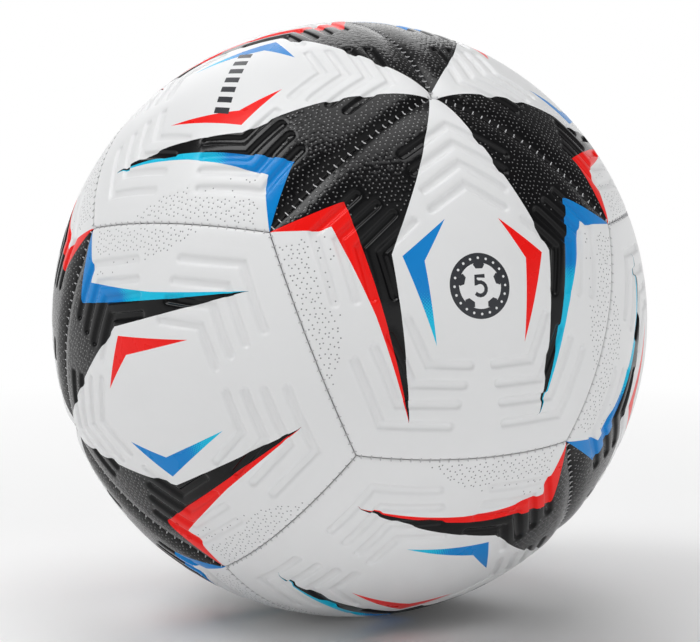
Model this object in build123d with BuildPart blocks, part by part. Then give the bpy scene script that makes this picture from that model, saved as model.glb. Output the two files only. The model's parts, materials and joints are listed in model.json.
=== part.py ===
"""A size 5 soccer ball: twelve machine-stitched panels over a rubber bladder with its valve.

The panels lie on a regular dodecahedron blown up to a sphere. Each panel has an apex, which is
the corner where three panels meet point to point. The ball has four such apex corners.
The origin is the centre of the ball, and the ball stands with its badge panel to the front (-Y).
"""
from build123d import *
from itertools import combinations, product
from math import acos, atan, cos, degrees, radians, sin, sqrt, tan
import os

os.makedirs("parts", exist_ok=True)

# ---------------------------------------------------------------- driving dimensions, mm and degrees
ball_radius = 110.0        # circumference 691 mm, as on a size 5 ball

skin_thickness = 2.4       # embossed cover
foam_thickness = 2.0       # cushion under the cover
lining_thickness = 0.8     # woven backing
bladder_wall = 0.8
layer_gap = 0.05           # glue line between two layers

seam_gap = 1.0             # between the folded edges of two panels
skin_fold = 1.4            # width of the folded edge, which hides the foam and the lining
seam_rounding = 1.6        # radius of the panel's outer edge

thread_diameter = 0.8
stitch_diameter = 0.5      # of the loops that cross the gap
thread_depth = 3.0         # below the surface of the ball
stitches_per_seam = 18
thread_end = 3.0           # clear length at each corner of the seam

badge_azimuth = 23.3       # the badge panel's heading, from -Y towards +X
badge_elevation = 11.8     # and its tilt above the horizon

valve_radius = 4.5         # outside of the valve's tube
valve_hole_gap = 0.2       # around the tube, in the layers
valve_top_depth = 0.4      # below the surface of the ball
valve_length = 27.0
flange_radius = 14.0       # glued to the inside of the bladder
flange_thickness = 1.4
core_radius = 2.5          # the core's shank
core_clearance = 0.05
core_head_radius = 3.5
core_head_thickness = 1.2
core_length = 21.0
core_groove_depth = 0.3    # of the rings that hold the core's lubricant
core_groove_width = 1.2
core_groove_depths = (5.0, 8.0, 11.0)  # of their middles, below the core's top
valve_rounding = 0.3       # of the edges that the needle and fingers meet
needle_radius = 1.1        # of the bore for the pump's needle
needle_depth = 18.0
air_hole_radius = 1.0

balance_patch_radius = 18.0
balance_patch_thickness = 1.5

# ---------------------------------------------------------------- derived sizes
skin_inner = ball_radius - skin_thickness
foam_outer = skin_inner - layer_gap
foam_inner = foam_outer - foam_thickness
lining_outer = foam_inner - layer_gap
lining_inner = lining_outer - lining_thickness
bladder_outer = lining_inner - 2 * layer_gap
bladder_inner = bladder_outer - bladder_wall
valve_top = ball_radius - valve_top_depth
core_top = valve_top - layer_gap
blank_floor = 0.6 * lining_inner       # heights between which a panel's blank is lofted
blank_ceiling = 1.1 * ball_radius
past_ball = 2 * ball_radius            # length of a cut that runs out of the ball

golden_ratio = (1 + sqrt(5)) / 2
side_angle = atan(2) / 2   # from a panel's axis to the plane of its seam
seam_angle = degrees(acos(sqrt(5) / 3))  # that a whole seam spans at the ball's centre
seam_chord = 2 * sin(radians(seam_angle) / 2)    # between a seam's ends, on a unit sphere
pole_aside = (0, 90, 0)    # turns a sphere's poles away from the panel's axis
upwards = (Align.CENTER, Align.CENTER, Align.MIN)    # a cylinder stands on its place
downwards = (Align.CENTER, Align.CENTER, Align.MAX)  # or hangs from it


# ---------------------------------------------------------------- the dodecahedron
def cyclic(x, y, z):
    """The three cyclic orders of a direction's components."""
    return [Vector(x, y, z), Vector(y, z, x), Vector(z, x, y)]


def signs(count):
    return product((-1, 1), repeat=count)


def nearest(directions, target):
    return max(directions, key=lambda direction: direction.normalized().dot(target))


cube_corners = [Vector(*corner) for corner in signs(3)]
apex_corners = [c.normalized() for c in cube_corners if c.X * c.Y * c.Z < 0]
base_corners = [c.normalized() for c in cube_corners if c.X * c.Y * c.Z > 0]
side_corners = [
    corner.normalized()
    for a, b in signs(2)
    for corner in cyclic(0, a / golden_ratio, b * golden_ratio)
]
panel_axes = [axis.normalized() for a, b in signs(2) for axis in cyclic(0, a * golden_ratio, b)]


def panel_plane(axis):
    """A panel's plane at the ball's centre: Z out through the panel, Y towards its apex."""
    apex = nearest(apex_corners, axis)
    return Plane((0, 0, 0), x_dir=apex.cross(axis), z_dir=axis)


# The whole ball is turned so that its first panel, the badge panel, faces as it should.
azimuth = radians(badge_azimuth)
elevation = radians(badge_elevation)
badge_axis = Vector(sin(azimuth) * cos(elevation), -cos(azimuth) * cos(elevation), sin(elevation))
badge_plane = Plane((0, 0, 0), x_dir=Vector(0, 0, 1).cross(badge_axis), z_dir=badge_axis)
attitude = badge_plane.location * panel_plane(panel_axes[0]).location.inverse()

panel_places = [attitude * panel_plane(axis).location for axis in panel_axes]
panel_places.sort(key=lambda place: (Plane(place).z_dir - badge_axis).length)
valve_place = panel_places[-1]       # opposite the badge
badge_place = panel_places[0]


def seam_place(start, end):
    """A seam's place: X out through its middle, Z across the seam."""
    return attitude * Plane((0, 0, 0), x_dir=start + end, z_dir=start.cross(end)).location


def seams_at(corner):
    """The three seams that meet at a corner."""
    others = apex_corners + base_corners + side_corners
    others.sort(key=lambda other: (other - corner).length)
    return [seam_place(corner, other) for other in others[1:4]]


seam_groups = {}
for name, corners in (("apex", apex_corners), ("base", base_corners)):
    for number, corner in enumerate(corners, start=1):
        seam_groups[f"seam_thread_{name}_{number}"] = seams_at(corner)
side_pairs = combinations(side_corners, 2)
bridges = [(start, end) for start, end in side_pairs if (start - end).length < 1.1 * seam_chord]
for number, (start, end) in enumerate(bridges, start=1):
    seam_groups[f"seam_thread_bridge_{number}"] = [seam_place(start, end)]


# ---------------------------------------------------------------- panel layers
def panel_block(outer, inner, inset):
    """The shell between two radii, cut to a pentagon whose sides are inset from the seam planes."""
    lift = inset / sin(side_angle)
    with BuildPart() as block:
        for height in (blank_floor, blank_ceiling):
            with BuildSketch(Plane.XY.offset(height)):
                inradius = (height - lift) * tan(side_angle)
                RegularPolygon(inradius, 5, major_radius=False, rotation=90)
        loft(ruled=True)
        Sphere(outer, rotation=pole_aside, mode=Mode.INTERSECT)
        Sphere(inner, rotation=pole_aside, mode=Mode.SUBTRACT)
    return block.part


fold_line = seam_gap / 2 + skin_fold
layer_inset = fold_line + layer_gap

with BuildPart() as skin_panel:
    add(panel_block(ball_radius, lining_inner, seam_gap / 2))
    add(panel_block(skin_inner, bladder_outer, fold_line), mode=Mode.SUBTRACT)
    outer_face = skin_panel.faces().filter_by(GeomType.SPHERE).sort_by(Axis.Z)[-1]
    fillet(outer_face.edges(), seam_rounding)

with BuildPart() as foam_panel:
    add(panel_block(foam_outer, foam_inner, layer_inset))

with BuildPart() as lining_panel:
    add(panel_block(lining_outer, lining_inner, layer_inset))

layers = {"cover_skin": skin_panel, "foam_layer": foam_panel, "lining": lining_panel}
for layer_name, layer in layers.items():
    for number, place in enumerate(panel_places, start=1):
        with BuildPart(Plane(place)) as panel:
            add(layer.part)
            if place is valve_place:
                hole_radius = valve_radius + valve_hole_gap
                Cylinder(hole_radius, past_ball, align=upwards, mode=Mode.SUBTRACT)
        panel.part.label = f"{layer_name}_{number:02d}"
        export_step(panel.part, f"parts/{panel.part.label}.step")


# ---------------------------------------------------------------- seam threads
# A running thread lies along the middle of the gap, and its stitches cross from fold to fold.
thread_line = ball_radius - thread_depth
half_thread = seam_angle / 2 - degrees(thread_end / thread_line)

with BuildPart() as seam_thread:
    with BuildSketch(Plane.XZ.rotated((0, 0, -half_thread))):
        with Locations((thread_line, 0)):
            Circle(thread_diameter / 2)
    revolve(axis=Axis.Z, revolution_arc=2 * half_thread)
    stitch_span = 2 * half_thread - degrees(thread_diameter / thread_line)
    with PolarLocations(
        thread_line, stitches_per_seam, -stitch_span / 2, stitch_span, endpoint=True
    ):
        Cylinder(stitch_diameter / 2, seam_gap)

for group_name, places in seam_groups.items():
    with BuildPart(*[Plane(place) for place in places]) as thread_group:
        add(seam_thread.part)
    thread_group.part.label = group_name
    export_step(thread_group.part, f"parts/{group_name}.step")


# ---------------------------------------------------------------- bladder and what is glued in it
valve_plane = Plane(valve_place)

with BuildPart(valve_plane) as bladder:
    Sphere(bladder_outer, rotation=pole_aside)
    Sphere(bladder_inner, rotation=pole_aside, mode=Mode.SUBTRACT)
    Cylinder(valve_radius + layer_gap, past_ball, align=upwards, mode=Mode.SUBTRACT)
bladder.part.label = "bladder"
export_step(bladder.part, "parts/bladder.step")


def glued_disc(radius, thickness):
    """A round patch that follows the inside of the bladder."""
    with BuildPart() as disc:
        Sphere(bladder_inner - layer_gap, rotation=pole_aside)
        Sphere(bladder_inner - layer_gap - thickness, rotation=pole_aside, mode=Mode.SUBTRACT)
        Cylinder(radius, past_ball, align=upwards, mode=Mode.INTERSECT)
    return disc.part


with BuildPart(Plane(badge_place)) as balance_patch:
    add(glued_disc(balance_patch_radius, balance_patch_thickness))
balance_patch.part.label = "balance_patch"
export_step(balance_patch.part, "parts/balance_patch.step")

# ---------------------------------------------------------------- valve
core_bottom = core_top - core_length
head_seat = core_top - core_head_thickness - layer_gap

with BuildPart(valve_plane) as valve_housing:
    add(glued_disc(flange_radius, flange_thickness))
    with Locations((0, 0, valve_top)):
        Cylinder(valve_radius, valve_length, align=downwards)
    with Locations((0, 0, head_seat)):
        Cylinder(core_head_radius + core_clearance, past_ball, align=upwards, mode=Mode.SUBTRACT)
    with Locations((0, 0, core_bottom - layer_gap)):
        Cylinder(core_radius + core_clearance, past_ball, align=upwards, mode=Mode.SUBTRACT)
    Cylinder(air_hole_radius, past_ball, align=upwards, mode=Mode.SUBTRACT)
valve_housing.part.label = "valve_housing"
export_step(valve_housing.part, "parts/valve_housing.step")

with BuildPart() as core_groove:
    Cylinder(core_head_radius, core_groove_width)
    Cylinder(core_radius - core_groove_depth, core_groove_width, mode=Mode.SUBTRACT)

with BuildPart(valve_plane) as valve_core:
    with Locations((0, 0, core_top)):
        Cylinder(core_head_radius, core_head_thickness, align=downwards)
        head_rim = valve_core.edges().filter_by(GeomType.CIRCLE).sort_by(SortBy.DISTANCE)[-1]
        fillet(head_rim, valve_rounding)
        Cylinder(core_radius, core_length, align=downwards)
    tip_rim = valve_core.edges().filter_by(GeomType.CIRCLE).sort_by(SortBy.DISTANCE)[0]
    fillet(tip_rim, valve_rounding)
    with Locations(*[(0, 0, core_top - depth) for depth in core_groove_depths]):
        add(core_groove.part, mode=Mode.SUBTRACT)
    with Locations((0, 0, core_top)):
        Cylinder(needle_radius, needle_depth, align=downwards, mode=Mode.SUBTRACT)
valve_core.part.label = "valve_core"
export_step(valve_core.part, "parts/valve_core.step")
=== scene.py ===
"""Looks of the soccer ball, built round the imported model.

One panel is drawn flat, in millimetres of arc from its centre, with X to the right and Y towards
its apex, seen from outside. It is bent onto the ball and repeated on the twelve faces, because
the print and the embossing are the same on every panel.
"""
import json
import math
import random
from itertools import combinations, product

import bmesh
import bpy
import numpy as np
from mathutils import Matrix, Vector, kdtree
from mathutils.geometry import delaunay_2d_cdt


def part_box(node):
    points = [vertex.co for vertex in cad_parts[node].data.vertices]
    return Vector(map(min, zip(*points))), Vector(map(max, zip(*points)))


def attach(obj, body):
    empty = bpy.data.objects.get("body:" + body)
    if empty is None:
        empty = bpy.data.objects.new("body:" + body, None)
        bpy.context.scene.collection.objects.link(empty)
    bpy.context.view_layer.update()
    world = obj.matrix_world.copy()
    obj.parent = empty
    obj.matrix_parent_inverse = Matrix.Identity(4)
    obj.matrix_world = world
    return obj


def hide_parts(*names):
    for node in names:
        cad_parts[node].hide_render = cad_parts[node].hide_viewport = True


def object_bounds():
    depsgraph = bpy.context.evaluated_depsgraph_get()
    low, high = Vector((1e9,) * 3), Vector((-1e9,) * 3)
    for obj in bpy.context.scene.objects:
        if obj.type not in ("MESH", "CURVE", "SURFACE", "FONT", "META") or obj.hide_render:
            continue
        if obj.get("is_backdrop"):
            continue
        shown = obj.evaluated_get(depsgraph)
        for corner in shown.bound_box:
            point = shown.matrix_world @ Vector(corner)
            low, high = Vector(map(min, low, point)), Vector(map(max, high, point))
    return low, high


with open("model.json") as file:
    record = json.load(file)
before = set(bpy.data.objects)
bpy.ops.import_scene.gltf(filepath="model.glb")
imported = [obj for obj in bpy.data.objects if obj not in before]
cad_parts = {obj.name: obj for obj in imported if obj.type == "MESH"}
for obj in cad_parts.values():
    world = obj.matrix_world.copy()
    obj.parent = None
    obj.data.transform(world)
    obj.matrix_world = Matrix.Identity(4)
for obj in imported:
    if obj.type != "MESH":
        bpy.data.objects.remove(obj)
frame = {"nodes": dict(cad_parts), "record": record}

CAD_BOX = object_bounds()
MM = 0.001
MOUNTS = {mount["name"]: mount for mount in frame["record"]["mounts"]}
RADIUS = -MOUNTS["rest_point"]["pos_m"][2] / MM
VALVE_AXIS = np.array(MOUNTS["needle_bore"]["axis"])

# ------------------------------------------------------------------ sizes, in millimetres
LIP_GAP = 0.12             # from a seam's middle to the panel's lip
FOLD_GAP = 0.5             # the same, below the lip, where the running thread lies
FOLD_INNER = 1.9           # inner side of the folded edge
FOLD_DEPTH = 5.3           # of the folded edge, below the ball's surface
SKIN_DEPTH = 2.4           # of the skin's inner face
LIP_DROP = 1.0             # over which the lip's gap widens to the fold's

EDGE_STEP = 1.3            # spacing of mesh points along a panel's edge
LINE_STEP = 1.2            # along printed lines and grooves
LATTICE_STEP = 2.0         # on the open surface
INSIDE_STEP = 6.0          # on the inner face
CROWDING = 0.5             # share of a grid's step within which its points give way to others
LATTICE_REACH = 0.7        # half the width of a panel's grid, in ball radii
EDGE_RINGS = (0.3, 0.5, 0.8, 1.3, 2.1, 3.2, 4.8, 6.6)   # distances of mesh points from a seam
RING_CROWDING = 0.3        # distance within which those points give way to drawn lines
RING_MARGIN = 0.5          # between the last of them and the open grid
SAME_POINT = 0.03          # distance within which two mesh points are made one
WELD_GAP = 0.001           # the same, where the inner face meets the fold
SHARP_ANGLE = 50           # degrees, above which an edge is shaded sharp

FLAT_SEAM = (0.35, 3.0)    # depth and width of the dip along a white seam
DEEP_SEAM = (1.7, 8.0)     # along a black seam
LIP_ROUND = (0.5, 0.9)     # depth and width of the rounding of every lip
DEEP_TAPER = 14.0          # length over which a deep seam turns into a flat one

GROOVE_HALF = 1.85         # half the width of an embossed groove
GROOVE_FLOOR = 0.9         # half the width of its floor
GROOVE_DEPTH = 1.0
SHOULDER = (0.14, 1.2)     # depth and width of the soft shoulder beside a groove

PIT_RADIUS = 0.3
PIT_DEPTH = 0.11
PIT_SIDES = 6
PIT_PAINT_SHARE = 0.9        # of a pit's radius, that its painted tone covers: painted shade on white, a painted glint on black
PIT_BOTTOM_SHARE = 0.25    # of a pit's radius, within which a mesh point is its bottom

VALVE_HOLE = 4.7           # radius of the hole in the valve's panel
HOLE_ROUND = (0.4, 1.0)    # depth and width of the rounding at its rim
HOLE_SIDES = 48

STITCHES_PER_SEAM = 24
STITCH_RADIUS = 0.22
STITCH_HALF = (0.75, 0.85)  # half the length of a stitch on a white and on a black seam
STITCH_SHARES = (-1.0, -0.86, -0.6, -0.25, 0.25, 0.6, 0.86, 1.0)   # its points, in half lengths
STITCH_FLAT = 0.35         # from the seam's middle, over which a stitch runs level
STITCH_PROUD = 0.3         # how far its middle line stands above the skin, in its own radii
STITCH_END_DROP = 0.45     # by which its ends dive into the skin
STITCH_SHIFT = 0.15        # largest random shift along the seam
STITCH_SLANT = 0.12        # largest random slant
STITCH_SEED = 5
THREAD_RADIUS = 0.35       # of the running thread below the stitches
THREAD_DEPTH = 2.9
THREAD_REACH = 0.97        # its length, in seam lengths
THREAD_POINTS = 48
TUBE_SIDES = 6


# ------------------------------------------------------------------ the twelve faces
def unit(vector):
    vector = np.asarray(vector, float)
    return vector / np.linalg.norm(vector)


def cyclic(x, y, z):
    """The vector and its two turns about the cube's diagonal."""
    return [(x, y, z), (y, z, x), (z, x, y)]


def signs(count):
    """Every choice of that many signs."""
    return product((-1, 1), repeat=count)


def nearest(direction, candidates):
    return max(candidates, key=lambda candidate: candidate @ direction)


def face_frame(axis, above):
    """Right, up and out of a face that looks along axis, with its top towards above."""
    right = unit(np.cross(above, axis))
    return np.column_stack([right, np.cross(axis, right), axis])


GOLDEN = (1 + math.sqrt(5)) / 2
CUBE_CORNERS = [unit(corner) for corner in signs(3)]
APEX_CORNERS = [corner for corner in CUBE_CORNERS if corner.prod() < 0]
BASE_CORNERS = [corner for corner in CUBE_CORNERS if corner.prod() > 0]
PANEL_AXES = [unit(c) for a, b in signs(2) for c in cyclic(0, a * GOLDEN, b)]
SAME_WAY = 0.99        # cosine above which two directions are the same panel or corner
NEXT_PANEL = 0.4       # cosine above which two panels share a seam

BADGE_FACE = face_frame(PANEL_AXES[0], nearest(PANEL_AXES[0], APEX_CORNERS))
ATTITUDE = face_frame(-VALVE_AXIS, (0, 0, 1)) @ BADGE_FACE.T
PANEL_FRAMES = [ATTITUDE @ face_frame(axis, nearest(axis, APEX_CORNERS)) for axis in PANEL_AXES]

SIDE_ANGLE = math.atan(2) / 2                  # from a panel's axis to the plane of a seam
HALF_SEAM = math.acos(math.sqrt(5) / 3) / 2    # angle of half a seam
SIDE_TURNS = np.radians(126 + 72 * np.arange(5))
DEEP_SIDES = {0: 1, 4: -1}     # the two sides at the apex, and which way along them the base lies
SIDE_MIDS = np.column_stack([
    math.sin(SIDE_ANGLE) * np.cos(SIDE_TURNS),
    math.sin(SIDE_ANGLE) * np.sin(SIDE_TURNS),
    np.full(5, math.cos(SIDE_ANGLE)),
])
SIDE_OUTS = np.column_stack([
    math.cos(SIDE_ANGLE) * np.cos(SIDE_TURNS),
    math.cos(SIDE_ANGLE) * np.sin(SIDE_TURNS),
    np.full(5, -math.sin(SIDE_ANGLE)),
])
SIDE_ALONGS = np.cross(SIDE_MIDS, SIDE_OUTS)   # counter-clockwise, seen from outside


# ------------------------------------------------------------------ panel coordinates
def to_directions(flat):
    """Flat panel coordinates to directions from the ball's centre."""
    arc = np.hypot(flat[:, 0], flat[:, 1]) / RADIUS
    scale = np.sinc(arc / np.pi) / RADIUS
    return np.column_stack([flat[:, 0] * scale, flat[:, 1] * scale, np.cos(arc)])


def to_flat(points):
    """Points near the ball's surface to flat panel coordinates."""
    across = np.hypot(points[:, 0], points[:, 1])
    arc = RADIUS * np.arctan2(across, points[:, 2])
    return points[:, :2] * (arc / np.maximum(across, 1e-9))[:, None]


def side_distances(directions):
    """Arc lengths from the five seams, positive inside the panel."""
    return RADIUS * np.arcsin(np.clip(-directions @ SIDE_OUTS.T, -1, 1))


def side_travel(directions):
    """Angles along the five seams, from their middles."""
    return np.arctan2(directions @ SIDE_ALONGS.T, directions @ SIDE_MIDS.T)


def half_turn(gap, radius):
    """Angle from the middle of a side to its corner, that far from the seams at that radius."""
    next_out = SIDE_OUTS[1]
    ahead, aside = SIDE_MIDS[0] @ next_out, SIDE_ALONGS[0] @ next_out
    level = -gap * (1 - SIDE_OUTS[0] @ next_out) / np.sqrt(radius**2 - gap**2)
    return math.atan2(aside, ahead) - np.arccos(level / math.hypot(ahead, aside))


def on_side(side, fraction, gap, radius):
    """Points of a side, from -1 at one corner to 1 at the next, that far from its seam."""
    turn = (fraction * half_turn(gap, radius))[:, None]
    around = np.cos(turn) * SIDE_MIDS[side] + np.sin(turn) * SIDE_ALONGS[side]
    gap, radius = np.broadcast_arrays(np.atleast_1d(gap)[:, None], np.atleast_1d(radius)[:, None])
    return around * np.sqrt(radius**2 - gap**2) - gap * SIDE_OUTS[side]


def edge_ring(gap):
    """Flat points all round a panel, that far from its seams."""
    count = round(2 * HALF_SEAM * RADIUS / EDGE_STEP)
    fractions = np.linspace(-1, 1, count, endpoint=False)
    return to_flat(np.vstack([on_side(side, fractions, gap, RADIUS) for side in range(5)]))


# ------------------------------------------------------------------ relief
def smooth(value):
    value = np.clip(value, 0, 1)
    return value * value * (3 - 2 * value)


def seam_dip(distance, deepness):
    """Depth of the surface near a seam, for a deepness from 0, white, to 1, black."""
    depth, width = (flat + (deep - flat) * deepness for flat, deep in zip(FLAT_SEAM, DEEP_SEAM))
    pillow = depth * np.clip(1 - distance / width, 0, 1) ** 2
    return pillow + rounding(distance, LIP_ROUND)


def rounding(distance, size):
    """Quarter-ellipse drop of an edge, of that depth and width."""
    inward = np.clip(1 - distance / size[1], 0, 1)
    return size[0] * (1 - np.sqrt(1 - inward**2))


def deepness_along(travel):
    """How deep a black seam is, at that arc length from its middle towards the panel's base."""
    return smooth((HALF_SEAM * RADIUS - travel) / DEEP_TAPER)


def edge_depth(directions):
    """Depth of the dips along the five seams, blended at the corners."""
    distances = side_distances(directions)
    travel = side_travel(directions) * RADIUS
    total = 0
    for side in range(5):
        deepness = deepness_along(DEEP_SIDES[side] * travel[:, side]) if side in DEEP_SIDES else 0
        total = total + seam_dip(distances[:, side], deepness) ** 3
    return np.cbrt(total)


def groove(start, bend, end):
    """A groove with one mitred bend: the bend, then each arm's way, outer side and length."""
    start, bend, end = (np.array(point, float) for point in (start, bend, end))
    ways = [unit(start - bend), unit(end - bend)]
    arms = []
    for way, other, tip in ((ways[0], ways[1], start), (ways[1], ways[0], end)):
        outer = np.array([-way[1], way[0]])
        outer = -outer if outer @ other > 0 else outer
        arms.append((way, outer, np.linalg.norm(tip - bend)))
    return bend, arms


def mirrored(points):
    return [(-x, y) for x, y in points]


def groove_distance(shape, flat):
    """Distance from a groove's middle line, mitred at its bend."""
    bend, ((way_a, outer_a, length_a), (way_b, outer_b, length_b)) = shape
    from_bend = flat - bend
    aside_a, aside_b = from_bend @ outer_a, from_bend @ outer_b
    past_a, past_b = from_bend @ way_a - length_a, from_bend @ way_b - length_b
    past = np.where(aside_a >= aside_b, past_a, past_b)
    return np.hypot(np.maximum(aside_a, aside_b), np.maximum(past, 0))


def groove_ring(shape, offset):
    """Outline of a groove at that distance from its middle line, with a round cap at each end."""
    bend, ((way_a, outer_a, length_a), (way_b, outer_b, length_b)) = shape
    mitre = offset * (outer_a + outer_b) / (1 + outer_a @ outer_b)
    turn = np.linspace(0, math.pi, 3 + round(math.pi * offset / LINE_STEP))[:, None]
    cap_a = bend + way_a * length_a + offset * (outer_a * np.cos(turn) + way_a * np.sin(turn))
    cap_b = bend + way_b * length_b + offset * (way_b * np.sin(turn) - outer_b * np.cos(turn))
    return np.vstack([bend + mitre, cap_a, bend - mitre, cap_b])


CHEVRON_SLOPE = 0.62
CHEVRONS = [
    ((-reach, top - CHEVRON_SLOPE * reach), (0, top), (reach, top - CHEVRON_SLOPE * reach))
    for top, reach in ((57, 19.5), (49, 17.0), (41, 15.0), (33, 13.5))
]
UPPER_HOOKS = [
    ((20.5, 20.5), (32.7, 10.8), (29.7, -4.0)),
    ((27.0, 23.5), (39.5, 13.0), (36.5, -4.0)),
    ((32.0, 27.3), (46.3, 16.5), (42.0, -4.5)),
    ((38.0, 31.5), (53.8, 19.5), (49.0, -5.0)),
]
LOWER_HOOKS = [
    ((4.5, -28.0), (19.0, -27.0), (25.5, -12.0)),
    ((6.5, -34.5), (24.0, -33.5), (31.5, -17.0)),
    ((8.5, -41.0), (29.0, -40.0), (37.0, -20.5)),
    ((10.5, -48.5), (34.5, -47.0), (43.5, -24.5)),
]
HOOKS = UPPER_HOOKS + LOWER_HOOKS
GROOVES = [groove(*points) for points in CHEVRONS + HOOKS + [mirrored(hook) for hook in HOOKS]]


def emboss_depth(flat):
    """Depth of the embossed grooves and of their soft shoulders."""
    distance = np.min([groove_distance(shape, flat) for shape in GROOVES], axis=0)
    wall = smooth((GROOVE_HALF - distance) / (GROOVE_HALF - GROOVE_FLOOR))
    beside = np.clip(1 - (distance - GROOVE_HALF) / SHOULDER[1], 0, 1)
    return SHOULDER[0] * beside**2 + (GROOVE_DEPTH - SHOULDER[0]) * wall


def surface_points(flat, hole, pits):
    """Points of a panel's outer face, in its own frame. pits marks the bottoms of the pits."""
    directions = to_directions(flat)
    depth = edge_depth(directions) + emboss_depth(flat) + PIT_DEPTH * pits
    if hole:
        depth = depth + rounding(np.hypot(flat[:, 0], flat[:, 1]) - VALVE_HOLE, HOLE_ROUND)
    return directions * (RADIUS - depth)[:, None]


# ------------------------------------------------------------------ print
PETAL = [(1.0, 72.0), (14.6, 40.0), (29.2, 9.8), (24.8, -47.0)]
SIDE_CORNER = (68.3, 22.2)
BEYOND_APEX = [(80.0, 40.0), (10.0, 90.0)]      # outside the panel, past its upper seams
STRIPE_INNER = [(24.8, -47.0), (42.3, 29.8), SIDE_CORNER]
STRIPE_OUTER = [SIDE_CORNER, (52.0, 20.3), (47.6, 21.2), (36.0, -10.0), (24.8, -47.0)]
BLACK_SHAPE = PETAL + STRIPE_INNER[1:] + BEYOND_APEX
STRIPE_SHAPE = STRIPE_INNER[:-1] + STRIPE_OUTER[:-1]
DART_SHAPE = [(9.8, 20.8), (25.8, 9.0), (16.2, -21.0), (18.6, 7.0)]

BADGE_CENTRE = (0.0, -2.0)
BADGE_RADII = (7.6, 10.9)
BADGE_DOTS = 20
BADGE_DOT_RADIUS = 0.45
BADGE_DOT_SIDES = 8
KITE = [(0.0, 8.4), (-2.1, 7.0), (-1.2, 5.7), (1.2, 5.7), (2.1, 7.0)]
NUMERAL_WIDTH = 1.3
NUMERAL_HOOK = [(1.8, 3.2), (-1.5, 3.2), (-1.8, 0.6)]
NUMERAL_BOWL = (-0.2, -1.0, 2.2)                # centre and radius of the lower bowl
NUMERAL_TURNS = (125, -140, 12)                 # its first and last angle, and its points
BAR_COUNT = 7
BAR_SHAPE = [(-2.6, -3.0), (0.4, -3.0), (2.6, 3.0), (-0.4, 3.0)]
BAR_PITCH = 5.6


def numeral_line():
    """Middle line of the numeral in the badge."""
    x, y, radius = NUMERAL_BOWL
    turns = np.radians(np.linspace(*NUMERAL_TURNS))
    bowl = [(x + radius * math.cos(turn), y + radius * math.sin(turn)) for turn in turns]
    return np.array(NUMERAL_HOOK + bowl) + BADGE_CENTRE


# ------------------------------------------------------------------ flat drawing of a panel
def along(points, step=LINE_STEP):
    """Points at about that spacing round a closed outline."""
    points = np.array(points, float)
    pieces = []
    for start, end in zip(points, np.roll(points, -1, axis=0)):
        count = max(1, round(np.linalg.norm(end - start) / step))
        pieces.append(start + (end - start) * np.arange(count)[:, None] / count)
    return np.vstack(pieces)


def circle(centre, radius, count):
    turns = 2 * math.pi * np.arange(count) / count
    return np.array(centre) + radius * np.column_stack([np.cos(turns), np.sin(turns)])


def inside(shape, flat):
    """Which points lie inside a closed outline."""
    result = np.zeros(len(flat), bool)
    shape = np.array(shape, float)
    for (x0, y0), (x1, y1) in zip(shape, np.roll(shape, -1, axis=0)):
        crosses = (y0 > flat[:, 1]) != (y1 > flat[:, 1])
        rise = y1 - y0 if y1 != y0 else 1.0
        result ^= crosses & (flat[:, 0] < x0 + (x1 - x0) * (flat[:, 1] - y0) / rise)
    return result


def line_distance(line, flat):
    """Distance from an open line."""
    line = np.array(line, float)
    distances = []
    for start, end in zip(line, line[1:]):
        way = end - start
        share = np.clip((flat - start) @ way / (way @ way), 0, 1)[:, None]
        distances.append(np.linalg.norm(flat - start - share * way, axis=1))
    return np.min(distances, axis=0)


def stroke_sides(line, width):
    """Outline of a line drawn with a pen of that width."""
    line = np.array(line, float)
    ways = np.diff(line, axis=0)
    ways = ways / np.linalg.norm(ways, axis=1)[:, None]
    before, after = np.vstack([ways[:1], ways]), np.vstack([ways, ways[-1:]])
    normals = (before + after) @ np.array([[0, 1], [-1, 0]])
    normals = normals / np.linalg.norm(normals, axis=1)[:, None]
    offsets = normals * width / 2
    return np.vstack([line + offsets, (line - offsets)[::-1]])


def kites():
    """The five dark corners of the badge's disc."""
    centre = np.array(BADGE_CENTRE)
    turns = 2 * math.pi * np.arange(5) / 5
    return [
        np.array(KITE) @ np.array([[math.cos(t), math.sin(t)], [-math.sin(t), math.cos(t)]]) + centre
        for t in turns
    ]


def badge_dots():
    return circle(BADGE_CENTRE, sum(BADGE_RADII) / 2, BADGE_DOTS)


def bars():
    """The row of slanting bars on a marked panel."""
    places = (np.arange(BAR_COUNT) - (BAR_COUNT - 1) / 2) * BAR_PITCH
    return [np.array(BAR_SHAPE) + (x, 0) for x in places]


def print_outlines(variant):
    """Closed outlines of everything printed on a panel."""
    shapes = [BLACK_SHAPE, STRIPE_SHAPE, DART_SHAPE]
    outlines = [along(shape) for shape in shapes + [mirrored(shape) for shape in shapes]]
    if variant == "badge":
        fine = LINE_STEP / 2
        rings = [circle(BADGE_CENTRE, radius, round(2 * math.pi * radius / fine)) for radius in BADGE_RADII]
        dots = [circle(dot, BADGE_DOT_RADIUS, BADGE_DOT_SIDES) for dot in badge_dots()]
        corners = [along(kite[1:], fine) for kite in kites()]
        outlines += rings + dots + corners + [along(stroke_sides(numeral_line(), NUMERAL_WIDTH), fine)]
    if variant == "bars":
        outlines += [along(bar) for bar in bars()]
    return outlines


def groove_outlines():
    """Outlines down the wall of every groove and round its shoulder."""
    offsets = np.linspace(GROOVE_FLOOR, GROOVE_HALF, 4).tolist() + [GROOVE_HALF + SHOULDER[1] / 2]
    return [along(groove_ring(shape, offset)) for shape in GROOVES for offset in offsets]


def lattice(step, jitter=0.0, seed=0):
    """Points of a triangular grid over a panel."""
    dice = np.random.default_rng(seed)
    reach = RADIUS * LATTICE_REACH
    rows = np.arange(-reach, reach, step * math.sqrt(3) / 2)
    columns = np.arange(-reach, reach, step)
    grid = np.array([(x + step / 2 * (row % 2), y) for row, y in enumerate(rows) for x in columns])
    return grid + dice.uniform(-jitter, jitter, grid.shape)


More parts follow.
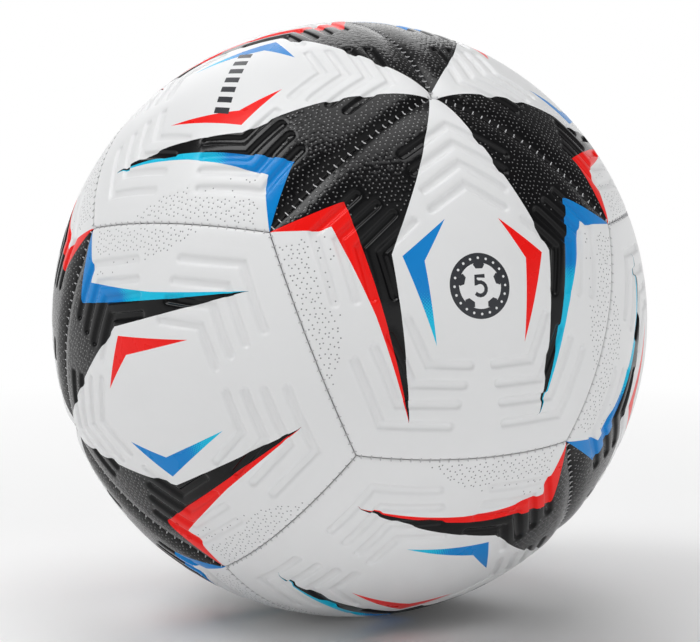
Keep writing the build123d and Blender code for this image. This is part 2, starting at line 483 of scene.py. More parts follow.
def seam_gap(flat):
    """Distance of each flat point from the nearest seam."""
    return side_distances(to_directions(flat)).min(axis=1)


def search_tree(points):
    """A tree that finds the nearest of the flat points."""
    tree = kdtree.KDTree(len(points))
    for index, (x, y) in enumerate(points):
        tree.insert((x, y, 0), index)
    tree.balance()
    return tree


def reach_to(others, points):
    """Distance of each point from the nearest of the others."""
    tree = search_tree(others)
    return np.array([tree.find((x, y, 0))[2] for x, y in points])


def clear_of(points, others, gap):
    """The points that are farther than that from all the others."""
    return points[reach_to(others, points) > gap]


BLACK_PITS_ABOVE = 24.0       # height on the panel
WHITE_PIT_ZONE = [(47.5, 18.0), (47.5, -20.0), (51.0, -36.0), (70.0, -36.0), (70.0, 18.0)]
PIT_ZONE_MARGIN = 1.6         # between the seams and the nearest pits
BLACK_PIT_GRID = {"step": 1.9, "jitter": 0.35, "seed": 1}
WHITE_PIT_GRID = {"step": 2.0, "jitter": 0.5, "seed": 2}


def pit_centres(drawn):
    """Centres of the small pits, clear of the drawn lines, the grooves and the seams."""
    black = lattice(**BLACK_PIT_GRID)
    black = black[black[:, 1] > BLACK_PITS_ABOVE]
    black = black[inside(BLACK_SHAPE, black) | inside(mirrored(BLACK_SHAPE), black)]
    white = lattice(**WHITE_PIT_GRID)
    white = white[inside(WHITE_PIT_ZONE, white) | inside(mirrored(WHITE_PIT_ZONE), white)]
    pits = np.vstack([black, white])
    pits = pits[seam_gap(pits) > PIT_ZONE_MARGIN]
    return clear_of(pits, drawn, 2 * PIT_RADIUS)


def triangulate(boundary, lines, loose):
    """Triangles inside a boundary, with edges along the closed lines and corners at the points."""
    points = []
    edges = []
    for line in [boundary, *lines]:
        first, count = len(points), len(line)
        points += [Vector(point) for point in line]
        edges += [(first + index, first + (index + 1) % count) for index in range(count)]
    points += [Vector(point) for point in loose]
    corners, _, faces, *_ = delaunay_2d_cdt(points, edges, [], 0, SAME_POINT)
    corners, faces = np.array([tuple(corner) for corner in corners]), np.array(faces)
    return corners, faces[inside(boundary, corners[faces].mean(axis=1))]


def without_hole(flat, triangles):
    """The triangles that lie outside the valve's hole."""
    middles = flat[triangles].mean(axis=1)
    return triangles[np.hypot(middles[:, 0], middles[:, 1]) > VALVE_HOLE]


def draw_panel(variant):
    """Flat corners and triangles of a panel's outer face, and the centres of its pits."""
    lines = print_outlines(variant) + groove_outlines()
    holes = [circle((0, 0), VALVE_HOLE, HOLE_SIDES)] if variant == "valve" else []
    drawn = np.vstack(lines + holes)
    pits = pit_centres(drawn)
    pit_rims = [circle(pit, PIT_RADIUS, PIT_SIDES) for pit in pits]
    rings = clear_of(np.vstack([edge_ring(gap) for gap in EDGE_RINGS]), drawn, RING_CROWDING)
    hole_rings = [circle((0, 0), VALVE_HOLE + gap, HOLE_SIDES) for gap in EDGE_RINGS[:4] if holes]
    kept = np.vstack([drawn, rings, pits] + pit_rims + hole_rings)
    open_grid = lattice(LATTICE_STEP)
    open_grid = open_grid[seam_gap(open_grid) > EDGE_RINGS[-1] + RING_MARGIN]
    open_grid = clear_of(open_grid, kept, CROWDING * LATTICE_STEP)
    loose = np.vstack([rings, pits, open_grid] + pit_rims + hole_rings)
    flat, triangles = triangulate(edge_ring(LIP_GAP), lines + holes, loose)
    return flat, without_hole(flat, triangles) if holes else triangles, pits


# ------------------------------------------------------------------ solid of a panel
# The two pit tones are painted light: painted shade in the pits on white, a painted glint in the pits on
# black.
SKIN_COLOURS = ["white", "black", "red", "blue_stripe", "blue_dart", "white_pit_shade", "black_pit_glint", "mark", "backing"]
PRINTED_LEVELS = 2         # strips at the top of a wall that carry the print


def colour_of(flat, pits, variant):
    """Index of the colour at each flat point: the print's ink, and in the pits a painted shade on white and
    a painted glint on black.
    """
    ink = np.full(len(flat), SKIN_COLOURS.index("white"))
    ink[inside(BLACK_SHAPE, flat) | inside(mirrored(BLACK_SHAPE), flat)] = SKIN_COLOURS.index("black")
    ink[inside(STRIPE_SHAPE, flat)] = SKIN_COLOURS.index("blue_stripe")
    ink[inside(mirrored(STRIPE_SHAPE), flat) | inside(DART_SHAPE, flat)] = SKIN_COLOURS.index("red")
    ink[inside(mirrored(DART_SHAPE), flat)] = SKIN_COLOURS.index("blue_dart")
    if variant == "badge":
        ink[badge_mask(flat)] = SKIN_COLOURS.index("mark")
    if variant == "bars":
        ink[np.any([inside(bar, flat) for bar in bars()], axis=0)] = SKIN_COLOURS.index("mark")
    # Pits take a painted shade on the white and a painted glint on the black.
    pitted = reach_to(pits, flat) < PIT_RADIUS * PIT_PAINT_SHARE
    ink[pitted & (ink == SKIN_COLOURS.index("white"))] = SKIN_COLOURS.index("white_pit_shade")
    ink[pitted & (ink == SKIN_COLOURS.index("black"))] = SKIN_COLOURS.index("black_pit_glint")
    return ink


def badge_mask(flat):
    """Where the badge's dark ink lies."""
    reach = np.hypot(*(flat - BADGE_CENTRE).T)
    dotted = np.min([np.hypot(*(flat - dot).T) for dot in badge_dots()], axis=0) < BADGE_DOT_RADIUS
    ring = (reach > BADGE_RADII[0]) & (reach < BADGE_RADII[1]) & ~dotted
    corners = np.any([inside(kite, flat) for kite in kites()], axis=0) & (reach <= BADGE_RADII[0])
    return ring | corners | (line_distance(numeral_line(), flat) < NUMERAL_WIDTH / 2)


def open_edges(triangles):
    """Directed edges that only one triangle has."""
    edges = {(a, b) for face in triangles.tolist() for a, b in zip(face, face[1:] + face[:1])}
    return [(a, b) for a, b in edges if (b, a) not in edges]


def chains(edges):
    """The closed chains that directed edges make, longest first."""
    following = dict(edges)
    found = []
    while following:
        start = min(following)
        chain = [start]
        step = following.pop(start)
        while step != start:
            chain.append(step)
            step = following.pop(step)
        found.append(chain)
    return sorted(found, key=len, reverse=True)


def fold_columns(flat, top):
    """Points below each point of a panel's edge: down its fold, round it and up to the skin."""
    directions = to_directions(flat)
    side = side_distances(directions).argmin(axis=1)
    travel = side_travel(directions)[np.arange(len(flat)), side]
    fraction = np.clip(travel / half_turn(LIP_GAP, RADIUS), -1, 1)
    lip = np.linalg.norm(top, axis=1)
    steps = [
        ((LIP_GAP + FOLD_GAP) / 2, lip - LIP_DROP / 2),
        (FOLD_GAP, lip - LIP_DROP),
        (FOLD_GAP, RADIUS - FOLD_DEPTH),
        (FOLD_INNER, RADIUS - FOLD_DEPTH),
        (FOLD_INNER, RADIUS - SKIN_DEPTH),
    ]
    return np.array([on_side(side, fraction, gap, radius) for gap, radius in steps])


def hole_columns(top, levels):
    """Points down the wall of the valve's hole."""
    lip = np.linalg.norm(top, axis=1)[:, None]
    shares = np.arange(1, levels + 1)[:, None, None] / levels
    return top / lip * (lip + (RADIUS - SKIN_DEPTH - lip) * shares)


def pit_bottoms(flat, pits):
    """1 at the corners at the bottoms of pits, and 0 elsewhere."""
    return (reach_to(pits, flat) < PIT_RADIUS * PIT_BOTTOM_SHARE).astype(float)


def wall_faces(triangles, inks, rim, level_ids):
    """The strips of faces down the walls, whose top keeps the colour of the print beside it."""
    row = {corner: place for place, corner in enumerate(rim.tolist())}
    edge_ink = {}
    for face, colour in zip(triangles.tolist(), inks):
        edge_ink.update({(a, b): colour for a, b in zip(face, face[1:] + face[:1])})
    faces = []
    face_inks = []
    for a, b in open_edges(triangles):
        for level, (upper, lower) in enumerate(zip(level_ids, level_ids[1:])):
            faces.append([int(upper[row[b]]), int(upper[row[a]]), int(lower[row[a]]), int(lower[row[b]])])
            face_inks.append(edge_ink[a, b] if level < PRINTED_LEVELS else SKIN_COLOURS.index("backing"))
    return faces, face_inks


def inner_face(rims):
    """Flat corners and triangles of the skin's inner face, inside the rims of its walls."""
    grid = lattice(INSIDE_STEP)
    grid = grid[seam_gap(grid) > FOLD_INNER]
    grid = clear_of(grid, np.vstack(rims), CROWDING * INSIDE_STEP)
    flat, triangles = triangulate(rims[0], rims[1:], grid)
    return flat, without_hole(flat, triangles) if rims[1:] else triangles


def welded(points, rim, rim_ids, first):
    """The number of each point: its rim point's where it lies on the rim, else the next free one."""
    tree = search_tree(rim)
    names = []
    for index, (x, y) in enumerate(points):
        _, place, distance = tree.find((x, y, 0))
        names.append(int(rim_ids[place]) if distance < WELD_GAP else first + index)
    return names


def close_panel(flat, triangles, pits, variant):
    """Corners, faces and face inks of a whole closed panel, in its own frame."""
    top = surface_points(flat, variant == "valve", pit_bottoms(flat, pits))
    inks = colour_of(flat[triangles].mean(axis=1), pits, variant).tolist()
    outer, *holes = chains(open_edges(triangles))
    fold = fold_columns(flat[outer], top[outer])
    columns = [fold] + [hole_columns(top[hole], len(fold)) for hole in holes]
    walls = np.concatenate(columns, axis=1)
    levels, count, _ = walls.shape
    rim = np.concatenate([outer, *holes])
    level_ids = [rim] + [len(flat) + level * count + np.arange(count) for level in range(levels)]
    side_faces, side_inks = wall_faces(triangles, inks, rim, level_ids)

    last = to_flat(walls[-1])
    rims = np.split(last, np.cumsum([len(chain) for chain in (outer, *holes)])[:-1])
    inner_flat, inner_triangles = inner_face(rims)
    names = welded(inner_flat, last, level_ids[-1], len(flat) + levels * count)
    inner_faces = [[names[c], names[b], names[a]] for a, b, c in inner_triangles.tolist()]
    inner = to_directions(inner_flat) * (RADIUS - SKIN_DEPTH)

    corners = np.vstack([top, walls.reshape(-1, 3), inner])
    faces = triangles.tolist() + side_faces + inner_faces
    return corners, faces, inks + side_inks + [SKIN_COLOURS.index("backing")] * len(inner_faces)


def make_mesh(name, corners, faces, materials, face_slots=None):
    """A smooth-shaded mesh from corners in millimetres, and which of the corners it uses."""
    mesh = bpy.data.meshes.new(name)
    used = np.unique(np.concatenate([np.array(face) for face in faces]))
    renumber = np.full(len(corners), -1)
    renumber[used] = np.arange(len(used))
    mesh.from_pydata((corners[used] * MM).tolist(), [], [renumber[face].tolist() for face in faces])
    for material in materials:
        mesh.materials.append(material)
    if face_slots is not None:
        mesh.polygons.foreach_set("material_index", face_slots)
    mesh.shade_smooth()
    mesh.set_sharp_from_angle(angle=math.radians(SHARP_ANGLE))
    return mesh, used


def show(name, mesh, body):
    """A visible piece with that mesh, which moves with the body."""
    piece = bpy.data.objects.new(name, mesh)
    bpy.context.scene.collection.objects.link(piece)
    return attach(piece, body)


def store(mesh, name, kind, values):
    """Keeps a value or vector for every corner, for the materials."""
    layer = mesh.attributes.new(name, kind, "POINT")
    layer.data.foreach_set("vector" if kind == "FLOAT_VECTOR" else "value", np.ravel(values))


def node_towards(prefix, direction):
    """The CAD node with that prefix whose middle lies most nearly in that direction."""
    names = [name for name in frame["nodes"] if name.startswith(prefix)]
    middles = {name: np.array(sum(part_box(name), Vector())) for name in names}
    return max(names, key=lambda name: unit(middles[name]) @ direction)


# ------------------------------------------------------------------ materials
class Nodes:
    """A new material's node tree, with short calls to add and join nodes."""

    def __init__(self, name):
        self.material = bpy.data.materials.new(name)
        self.material.use_nodes = True
        self.tree = self.material.node_tree
        self.shader = self.tree.nodes["Principled BSDF"]

    def add(self, kind, **settings):
        node = self.tree.nodes.new("ShaderNode" + kind)
        for key, value in settings.items():
            setattr(node, key, value)
        return node

    def join(self, source, target):
        self.tree.links.new(source, target)

    def attribute(self, name):
        return self.add("Attribute", attribute_name=name)

    def noise(self, vector, scale, detail=2.0):
        node = self.add("TexNoise")
        node.inputs["Scale"].default_value = scale
        node.inputs["Detail"].default_value = detail
        self.join(vector, node.inputs["Vector"])
        return node.outputs["Fac"]

    def cells(self, vector, scale):
        node = self.add("TexVoronoi")
        node.inputs["Scale"].default_value = scale
        self.join(vector, node.inputs["Vector"])
        return node.outputs["Distance"]

    def span(self, value, low, high, first, last):
        """value from low to high becomes first to last."""
        node = self.add("MapRange")
        for place, number in enumerate((low, high, first, last), start=1):
            node.inputs[place].default_value = number
        self.join(value, node.inputs["Value"])
        return node.outputs["Result"]

    def maths(self, operation, first, second=None):
        node = self.add("Math", operation=operation)
        for place, value in enumerate((first, second)):
            if isinstance(value, (int, float)):
                node.inputs[place].default_value = value
            elif value is not None:
                self.join(value, node.inputs[place])
        return node.outputs["Value"]

    def blend(self, share, first, second):
        """A colour from first to second as share goes from 0 to 1."""
        node = self.add("Mix", data_type="RGBA")
        self.join(share, node.inputs["Factor"])
        for name, value in (("A", first), ("B", second)):
            socket = [s for s in node.inputs if s.name == name and s.type == "RGBA"][0]
            if isinstance(value, tuple):
                socket.default_value = (*value, 1.0)
            else:
                self.join(value, socket)
        return [s for s in node.outputs if s.type == "RGBA"][0]

    def bump(self, height, distance, strength=1.0, below=None):
        node = self.add("Bump")
        node.inputs["Distance"].default_value = distance
        node.inputs["Strength"].default_value = strength
        self.join(height, node.inputs["Height"])
        if below is not None:
            self.join(below, node.inputs["Normal"])
        return node.outputs["Normal"]

    def finish(self, colour, roughness, normal, specular=0.5):
        self.join(colour, self.shader.inputs["Base Color"])
        self.join(roughness, self.shader.inputs["Roughness"])
        self.join(normal, self.shader.inputs["Normal"])
        self.shader.inputs["Specular IOR Level"].default_value = specular
        return self.material


# Each pair is a colour and the tone that it varies towards.
WHITE = (0.76, 0.765, 0.77), (0.748, 0.753, 0.758)
BLACK = (0.0025, 0.0025, 0.003), (0.004, 0.004, 0.0045)
RED = (0.88, 0.006, 0.004), (0.84, 0.010, 0.007)
# The pit tones are painted light: the dark grey is painted shade in the white's pits, the light grey a
# painted glint in the black's pits.
WHITE_PIT_SHADE = (0.22, 0.22, 0.23), (0.36, 0.36, 0.37)
BLACK_PIT_GLINT = (0.13, 0.13, 0.13), (0.20, 0.20, 0.20)
MARK = (0.022, 0.024, 0.03), (0.03, 0.032, 0.038)
BACKING = (0.50, 0.50, 0.49), (0.66, 0.66, 0.65)
THREAD = (0.36, 0.36, 0.37), (0.62, 0.62, 0.63)
FOAM = (0.10, 0.10, 0.105), (0.17, 0.17, 0.175)
LINING = (0.46, 0.44, 0.39), (0.74, 0.72, 0.66)
BLADDER = (0.03, 0.03, 0.032), (0.06, 0.06, 0.062)
PATCH = (0.05, 0.05, 0.052), (0.09, 0.09, 0.092)
VALVE = (0.04, 0.04, 0.042), (0.07, 0.07, 0.072)
CORE = (0.09, 0.09, 0.095), (0.13, 0.13, 0.135)
FLOOR = (0.90, 0.90, 0.90), (0.93, 0.93, 0.93)

BLUE = (0.0, 0.215, 0.60)
CYAN = (0.005, 0.50, 0.74)
# Painted shade: a grey laid over the white panels right beside each seam, where the crease between panels
# is shaded.
SEAM_SHADE = (0.30, 0.30, 0.30)
SEAM_SHADE_REACH = 0.8            # millimetres from a seam
SEAM_SHADE_COVER = 0.3

INK_SHINE = 0.3             # specular levels
COLOUR_SHINE = 0.2          # of the bright inks
BLACK_SHINE = 0.2
INK_ROUGH = (0.24, 0.36)    # lowest and highest roughness
WHITE_ROUGH = (0.32, 0.38)
BLACK_ROUGH = (0.16, 0.22)

HALFTONE_PITCH = 0.75       # millimetres between the dots
HALFTONE_TURN = 45          # degrees between their rows and the panel's base
HALFTONE_FULL = 0.78        # dot radius, in pitches, that covers everything
STRIPE_FADE = (8.0, -2.0)   # heights on the panel between which the blue breaks up
DART_FADE = (0.0, -16.0)


def painted_seam_shade(nodes, colour):
    """The colour, greyed right beside the seams: painted shade along the crease between panels."""
    distance = nodes.attribute("seam_mm").outputs["Fac"]
    nearness = nodes.span(distance, 0.0, SEAM_SHADE_REACH, SEAM_SHADE_COVER, 0.0)
    return nodes.blend(nearness, colour, SEAM_SHADE)


def synthetic_leather(nodes, colour, specular, rough):
    """Smooth coated leather: a fine pebbled grain, faint waviness and uneven shine."""
    place = nodes.add("TexCoord").outputs["Object"]
    grain = nodes.cells(place, scale=1900.0)
    waves = nodes.noise(place, scale=260.0)
    normal = nodes.bump(waves, distance=0.00005)
    normal = nodes.bump(grain, distance=0.000012, below=normal)
    shine = nodes.span(nodes.noise(place, scale=60.0, detail=4.0), 0.3, 0.7, *rough)
    return nodes.finish(colour, shine, normal, specular)


def plain_tone(name, tones, specular=INK_SHINE, rough=INK_ROUGH, seam_shaded=False):
    """A flat tone which fades here and there towards a worn tone: a print colour, and also the painted
    shade in the white's pits and the painted glint in the black's pits.
    """
    nodes = Nodes(name)
    place = nodes.add("TexCoord").outputs["Object"]
    wear = nodes.span(nodes.noise(place, scale=45.0, detail=5.0), 0.42, 0.72, 0.0, 1.0)
    tint = nodes.blend(wear, *tones)
    # painted shade beside the seams
    if seam_shaded:
        tint = painted_seam_shade(nodes, tint)
    return synthetic_leather(nodes, tint, specular, rough)


def halftone_ink(name, solid_above, clear_below):
    """Blue that breaks up into dots over cyan between two heights on the panel."""
    nodes = Nodes(name)
    panel = nodes.attribute("panel_mm").outputs["Vector"]
    height = nodes.add("SeparateXYZ")
    nodes.join(panel, height.inputs["Vector"])
    cover = nodes.span(height.outputs["Y"], clear_below, solid_above, 0.0, HALFTONE_FULL)
    turned = nodes.add("VectorRotate", rotation_type="Z_AXIS")
    turned.inputs["Angle"].default_value = math.radians(HALFTONE_TURN)
    nodes.join(panel, turned.inputs["Vector"])
    scaled = nodes.add("VectorMath", operation="SCALE")
    scaled.inputs["Scale"].default_value = 1 / HALFTONE_PITCH
    nodes.join(turned.outputs["Vector"], scaled.inputs[0])
    cell = nodes.add("VectorMath", operation="FRACTION")
    nodes.join(scaled.outputs["Vector"], cell.inputs[0])
    from_dot = nodes.add("VectorMath", operation="DISTANCE")
    from_dot.inputs[1].default_value = (0.5, 0.5, 0.0)
    nodes.join(cell.outputs["Vector"], from_dot.inputs[0])
    dot = nodes.maths("LESS_THAN", from_dot.outputs["Value"], cover)
    return synthetic_leather(nodes, nodes.blend(dot, CYAN, BLUE), COLOUR_SHINE, INK_ROUGH)


def backing_cloth():
    """Short matted fibres on the back of the cover."""
    nodes = Nodes("cover_backing")
    place = nodes.add("TexCoord").outputs["Object"]
    fibres = nodes.noise(place, scale=900.0, detail=3.0)
    colour = nodes.blend(fibres, *BACKING)
    rough = nodes.span(fibres, 0.3, 0.7, 0.75, 0.95)
    return nodes.finish(colour, rough, nodes.bump(fibres, distance=0.0002))


def cover_materials():
    """The cover's materials, in the order of SKIN_COLOURS."""
    return [
        # The white panels get a painted shade beside the seams.
        plain_tone("cover_white", WHITE, rough=WHITE_ROUGH, seam_shaded=True),
        plain_tone("cover_black", BLACK, specular=BLACK_SHINE, rough=BLACK_ROUGH),
        plain_tone("cover_red", RED, specular=COLOUR_SHINE),
        halftone_ink("cover_blue_stripe", *STRIPE_FADE),
        halftone_ink("cover_blue_dart", *DART_FADE),
        # Painted shade in the pits on white, and a painted glint in the pits on black.
        plain_tone("cover_white_pit_shade", WHITE_PIT_SHADE),
        plain_tone("cover_black_pit_glint", BLACK_PIT_GLINT),
        plain_tone("cover_mark", MARK),
        backing_cloth(),
    ]


def thread_material():
    """Waxed polyester: twisted strands, slightly shiny."""
    nodes = Nodes("seam_thread")
    place = nodes.add("TexCoord").outputs["Object"]
    strands = nodes.noise(place, scale=4200.0, detail=1.0)
    colour = nodes.blend(strands, *THREAD)
    rough = nodes.span(strands, 0.3, 0.7, 0.45, 0.65)
    return nodes.finish(colour, rough, nodes.bump(strands, distance=0.00006))


def foam_material():
    """Closed-cell foam: fine matt bubbles."""
    nodes = Nodes("foam")
    place = nodes.add("TexCoord").outputs["Object"]
    bubbles = nodes.cells(place, scale=1400.0)
    colour = nodes.blend(bubbles, *FOAM)
    rough = nodes.span(bubbles, 0.0, 0.8, 0.7, 0.95)
    return nodes.finish(colour, rough, nodes.bump(bubbles, distance=0.0002))


def lining_material():
    """Woven polyester and cotton cloth: two crossing sets of ribs."""
    nodes = Nodes("lining_cloth")
    place = nodes.add("TexCoord").outputs["Object"]
    ribs = []
    for direction in ("X", "Y"):
        rib = nodes.add("TexWave", bands_direction=direction)
        rib.inputs["Scale"].default_value = 450.0
        rib.inputs["Distortion"].default_value = 0.6
        nodes.join(place, rib.inputs["Vector"])
        ribs.append(rib.outputs["Fac"])
    weave = nodes.maths("MAXIMUM", *ribs)
    colour = nodes.blend(weave, *LINING)
    rough = nodes.span(weave, 0.0, 1.0, 0.95, 0.8)
    return nodes.finish(colour, rough, nodes.bump(weave, distance=0.00015))


def rubber(name, tones, rough):
    """Moulded rubber: a faint powdery bloom and a slightly uneven skin."""
    nodes = Nodes(name)
    place = nodes.add("TexCoord").outputs["Object"]
    skin = nodes.noise(place, scale=400.0, detail=3.0)
    patches = nodes.span(nodes.noise(place, scale=35.0, detail=4.0), 0.45, 0.7, 0.0, 1.0)
    tint = nodes.blend(patches, *tones)
    return nodes.finish(tint, nodes.span(skin, 0.3, 0.7, *rough), nodes.bump(skin, distance=0.0001))


# ------------------------------------------------------------------ pieces of the ball
MARKED_DIRECTION = (-0.42, -0.45, 0.79)      # towards the panel with the row of bars


def panel_variants():
    """Which drawing each of the panel frames gets."""
    axes = [panel[:, 2] for panel in PANEL_FRAMES]
    marked = nearest(np.array(MARKED_DIRECTION), axes)
    variants = []
    for axis in axes:
        if axis @ VALVE_AXIS > SAME_WAY:
            variants.append("valve")
        elif axis @ VALVE_AXIS < -SAME_WAY:
            variants.append("badge")
        elif abs(axis @ marked) > SAME_WAY:
            variants.append("bars")
        else:
            variants.append("plain")
    return variants


def make_panels():
    """The twelve covers: each variant is drawn once and turned onto its faces."""
    materials = cover_materials()
    variants = panel_variants()
    for variant in dict.fromkeys(variants):
        flat, triangles, pits = draw_panel(variant)
        corners, faces, inks = close_panel(flat, triangles, pits, variant)
        for panel, its_variant in zip(PANEL_FRAMES, variants):
            if its_variant != variant:
                continue
            node = node_towards("cover_skin_", panel[:, 2])
            mesh, used = make_mesh(node + "_panel", corners @ panel.T, faces, materials, inks)
            panel_mm = np.column_stack([to_flat(corners), np.zeros(len(corners))])
            seam_mm = side_distances(corners / np.linalg.norm(corners, axis=1)[:, None]).min(axis=1)
            store(mesh, "panel_mm", "FLOAT_VECTOR", panel_mm[used])
            store(mesh, "seam_mm", "FLOAT", seam_mm[used])
            piece = show(node + "_panel", mesh, "ball")
            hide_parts(node)


def tube(path, binormal, radius):
    """Corners and faces of a closed tube along a path that stays square to binormal."""
    ways = np.gradient(path, axis=0)
    normals = np.cross(binormal, ways)
    normals = normals / np.linalg.norm(normals, axis=1)[:, None]
    turns = 2 * math.pi * np.arange(TUBE_SIDES) / TUBE_SIDES
    rings = [
        point + radius * (np.outer(np.cos(turns), normal) + np.outer(np.sin(turns), binormal))
        for point, normal in zip(path, normals)
    ]
    faces = []
    for ring in range(len(path) - 1):
        for side in range(TUBE_SIDES):
            here, there = (ring * TUBE_SIDES + turn % TUBE_SIDES for turn in (side, side + 1))
            faces.append([here, there, there + TUBE_SIDES, here + TUBE_SIDES])
    last = (len(path) - 1) * TUBE_SIDES
    faces.append(list(reversed(range(TUBE_SIDES))))
    faces.append([last + side for side in range(TUBE_SIDES)])
    return np.vstack(rings), faces


def seams():
    """Every seam: its middle, the way along it, the way across it, and its kind and group."""
    apexes = [ATTITUDE @ corner for corner in APEX_CORNERS]
    bases = [ATTITUDE @ corner for corner in BASE_CORNERS]
    for one, other in combinations([panel[:, 2] for panel in PANEL_FRAMES], 2):
        if one @ other < NEXT_PANEL:
            continue
        middle, across = unit(one + other), unit(other - one)
        way = np.cross(middle, across)
        ends = [math.cos(HALF_SEAM) * middle + turn * math.sin(HALF_SEAM) * way for turn in (-1, 1)]
        kind, group = "bridge", middle
        for turn, end in zip((-1, 1), ends):
            if max(end @ corner for corner in apexes) > SAME_WAY:
                kind, group, way = "apex", nearest(end, apexes), -turn * way
            elif max(end @ corner for corner in bases) > SAME_WAY:
                kind, group = "base", nearest(end, bases)
        yield middle, way, np.cross(way, middle), kind, group


def stitch_path(middle, way, across, travel, deepness, slant):
    """Middle line of one stitch over a seam, at that arc length from the seam's middle."""
    half = STITCH_HALF[0] + (STITCH_HALF[1] - STITCH_HALF[0]) * deepness
    x = np.array(STITCH_SHARES) * half
    depth = seam_dip(np.maximum(abs(x), STITCH_FLAT), deepness) - STITCH_PROUD * STITCH_RADIUS
    depth[[0, -1]] += STITCH_END_DROP
    turn = (travel + slant * x)[:, None] / RADIUS
    around = np.cos(turn) * middle + np.sin(turn) * way
    lean = x[:, None] / RADIUS
    return (np.cos(lean) * around + np.sin(lean) * across) * (RADIUS - depth)[:, None]


def seam_threads(middle, way, across, kind, dice):
    """The stitches of one seam and the running thread below them."""
    half_length = HALF_SEAM * RADIUS
    turns = np.linspace(-THREAD_REACH, THREAD_REACH, THREAD_POINTS)[:, None] * HALF_SEAM
    low_path = (np.cos(turns) * middle + np.sin(turns) * way) * (RADIUS - THREAD_DEPTH)
    yield tube(low_path, across, THREAD_RADIUS)
    pitch = 2 * half_length / STITCHES_PER_SEAM
    for index in range(STITCHES_PER_SEAM):
        travel = (index + 0.5) * pitch - half_length + dice.uniform(-STITCH_SHIFT, STITCH_SHIFT)
        deepness = float(deepness_along(travel)) if kind == "apex" else 0.0
        slant = dice.uniform(-STITCH_SLANT, STITCH_SLANT)
        path = stitch_path(middle, way, across, travel, deepness, slant)
        yield tube(path, unit(np.cross(across, middle)), STITCH_RADIUS)


def joined(parts):
    """Corners and faces of several shapes as one."""
    corners = []
    faces = []
    for own_corners, own_faces in parts:
        faces += [[len(corners) + corner for corner in face] for face in own_faces]
        corners += own_corners.tolist()
    return np.array(corners), faces


def make_threads():
    """The stitches and running threads of all the seams, one piece for each CAD node."""
    material = thread_material()
    dice = random.Random(STITCH_SEED)
    groups = {}
    for middle, way, across, kind, group in seams():
        parts = groups.setdefault(node_towards(f"seam_thread_{kind}_", group), [])
        parts += seam_threads(middle, way, across, kind, dice)
    for node, parts in groups.items():
        mesh, _ = make_mesh(node + "_stitches", *joined(parts), [material])
        piece = show(node + "_stitches", mesh, "ball")
        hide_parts(node)


def dress_inner_parts():
    """Materials for the CAD pieces that keep their own shape."""
    finishes = {
        "foam_layer_": foam_material(),
        "lining_": lining_material(),
        "bladder": rubber("bladder_rubber", BLADDER, rough=(0.4, 0.6)),
        "balance_patch": rubber("patch_rubber", PATCH, rough=(0.5, 0.7)),
        "valve_housing": rubber("valve_rubber", VALVE, rough=(0.4, 0.55)),
        "valve_core": rubber("core_rubber", CORE, rough=(0.35, 0.5)),
    }
    for name, node in frame["nodes"].items():
        for start, material in finishes.items():
            if name.startswith(start):
                for place in node.material_slots:
                    place.material = material


# ------------------------------------------------------------------ studio
FLOOR_RADIUS = 30.0
FLOOR_FADE = (0.14, 0.7)      # distances over which the lit floor fades into the backdrop's glow
BACKDROP = (1.0, 1.0, 1.0)
SKY_STRENGTH = 0.2            # of the dim studio above the bright backdrop
BACKDROP_EDGE = (0.12, 0.35)  # heights of the view over which the backdrop ends
CAMERA_ELEVATION = 5.5        # degrees
CAMERA_DISTANCE = 7.324       # in ball radii
LIGHTS = {                    # azimuth, elevation, distance, size and power
    "softbox_left": (-72, 57, 1.6, 0.7, 10.0),
    "softbox_top": (60, 84, 1.8, 1.2, 12.0),
    "softbox_front": (35, 25, 2.6, 2.6, 12.0),
    "softbox_back": (190, 35, 2.4, 1.6, 12.0),
}


def floor_material():
    """Matt white paint near the ball, which fades outwards into the glow of the backdrop."""
    nodes = Nodes("studio_floor")
    place = nodes.add("TexCoord").outputs["Object"]
    mottle = nodes.noise(place, scale=6.0)
    rough = nodes.span(mottle, 0.0, 1.0, 0.85, 0.95)
    bump = nodes.bump(mottle, distance=0.0001)
    nodes.finish(nodes.blend(mottle, *FLOOR), rough, bump, specular=0.1)
    reach = nodes.add("VectorMath", operation="LENGTH")
    nodes.join(place, reach.inputs[0])
    glow = nodes.add("Emission")
    glow.inputs["Color"].default_value = (*BACKDROP, 1.0)
    mix = nodes.add("MixShader")
    nodes.join(nodes.span(reach.outputs["Value"], *FLOOR_FADE, 0.0, 1.0), mix.inputs["Fac"])
    nodes.join(nodes.shader.outputs["BSDF"], mix.inputs[1])
    nodes.join(glow.outputs["Emission"], mix.inputs[2])
    nodes.join(mix.outputs["Shader"], nodes.tree.nodes["Material Output"].inputs["Surface"])
    return nodes.material


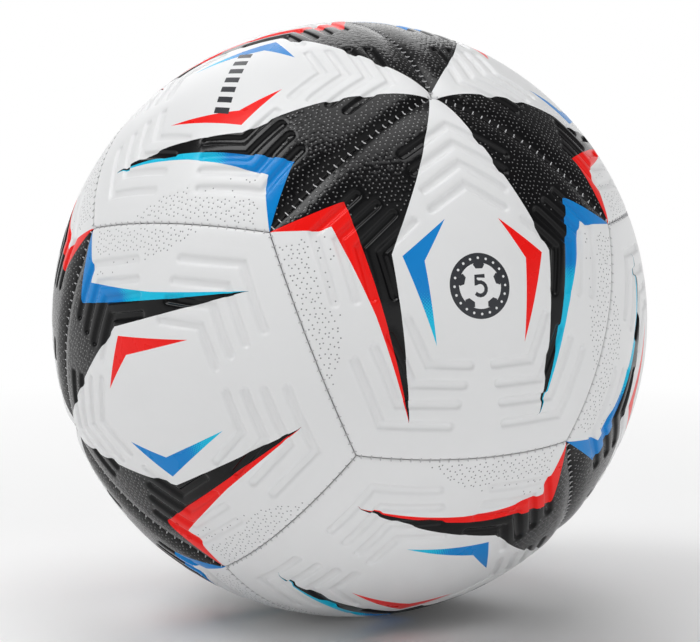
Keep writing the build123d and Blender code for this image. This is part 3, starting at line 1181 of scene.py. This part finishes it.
def make_floor():
    """A wide pale floor that the ball rests on."""
    sheet = bmesh.new()
    bmesh.ops.create_circle(sheet, cap_ends=True, segments=96, radius=FLOOR_RADIUS)
    mesh = bpy.data.meshes.new("studio_floor")
    sheet.to_mesh(mesh)
    sheet.free()
    mesh.materials.append(floor_material())
    floor = bpy.data.objects.new("studio_floor", mesh)
    floor.location.z = -RADIUS * MM
    bpy.context.scene.collection.objects.link(floor)
    floor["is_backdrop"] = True


def place_round_ball(thing, azimuth, elevation, distance):
    """Puts a light or camera round the ball, looking at its centre. Azimuth 0 looks along +Y."""
    turn, rise = math.radians(azimuth), math.radians(elevation)
    back = Vector((math.sin(turn) * math.cos(rise), -math.cos(turn) * math.cos(rise), math.sin(rise)))
    thing.location = back * distance
    thing.rotation_mode = "QUATERNION"
    thing.rotation_quaternion = (-back).to_track_quat("-Z", "Y")


def area_light(name, azimuth, elevation, distance, size, power):
    """A square soft light that looks at the ball."""
    light = bpy.data.lights.new(name, "AREA")
    light.shape = "SQUARE"
    light.size = size
    light.energy = power
    lamp = bpy.data.objects.new(name, light)
    bpy.context.scene.collection.objects.link(lamp)
    place_round_ball(lamp, azimuth, elevation, distance)


def make_world():
    """A white backdrop all round, up to a little above the horizon, in a dim studio."""
    world = bpy.data.worlds.new("studio_world")
    world.use_nodes = True
    tree = world.node_tree
    background = tree.nodes["Background"]
    background.inputs["Color"].default_value = (*BACKDROP, 1.0)
    way = tree.nodes.new("ShaderNodeTexCoord")
    split = tree.nodes.new("ShaderNodeSeparateXYZ")
    fade = tree.nodes.new("ShaderNodeMapRange")
    fade.interpolation_type = "SMOOTHSTEP"
    for place, number in enumerate((*BACKDROP_EDGE, 1.0, SKY_STRENGTH), start=1):
        fade.inputs[place].default_value = number
    tree.links.new(way.outputs["Generated"], split.inputs["Vector"])
    tree.links.new(split.outputs["Z"], fade.inputs["Value"])
    tree.links.new(fade.outputs["Result"], background.inputs["Strength"])
    bpy.context.scene.world = world


def make_camera():
    """The photograph's view: level with the ball's upper half, and a long lens."""
    camera = bpy.data.cameras.new("camera")
    camera.lens = 111.1
    camera.sensor_width = 36.0
    camera.shift_x = 0.0007
    camera.shift_y = -0.0026
    camera.clip_start = 0.05
    camera.clip_end = 100.0
    holder = bpy.data.objects.new("camera", camera)
    bpy.context.scene.collection.objects.link(holder)
    place_round_ball(holder, 0, CAMERA_ELEVATION, CAMERA_DISTANCE * RADIUS * MM)
    bpy.context.scene.camera = holder


def write_sizes():
    boxes = {"cad": CAD_BOX, "shown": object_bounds()}
    {name: [list(corner) for corner in box] for name, box in boxes.items()}


make_panels()
make_threads()
dress_inner_parts()
make_floor()
make_world()
for light_name, settings in LIGHTS.items():
    area_light(light_name, *settings)
make_camera()
bpy.context.scene.view_settings.view_transform = "Standard"
write_sizes()
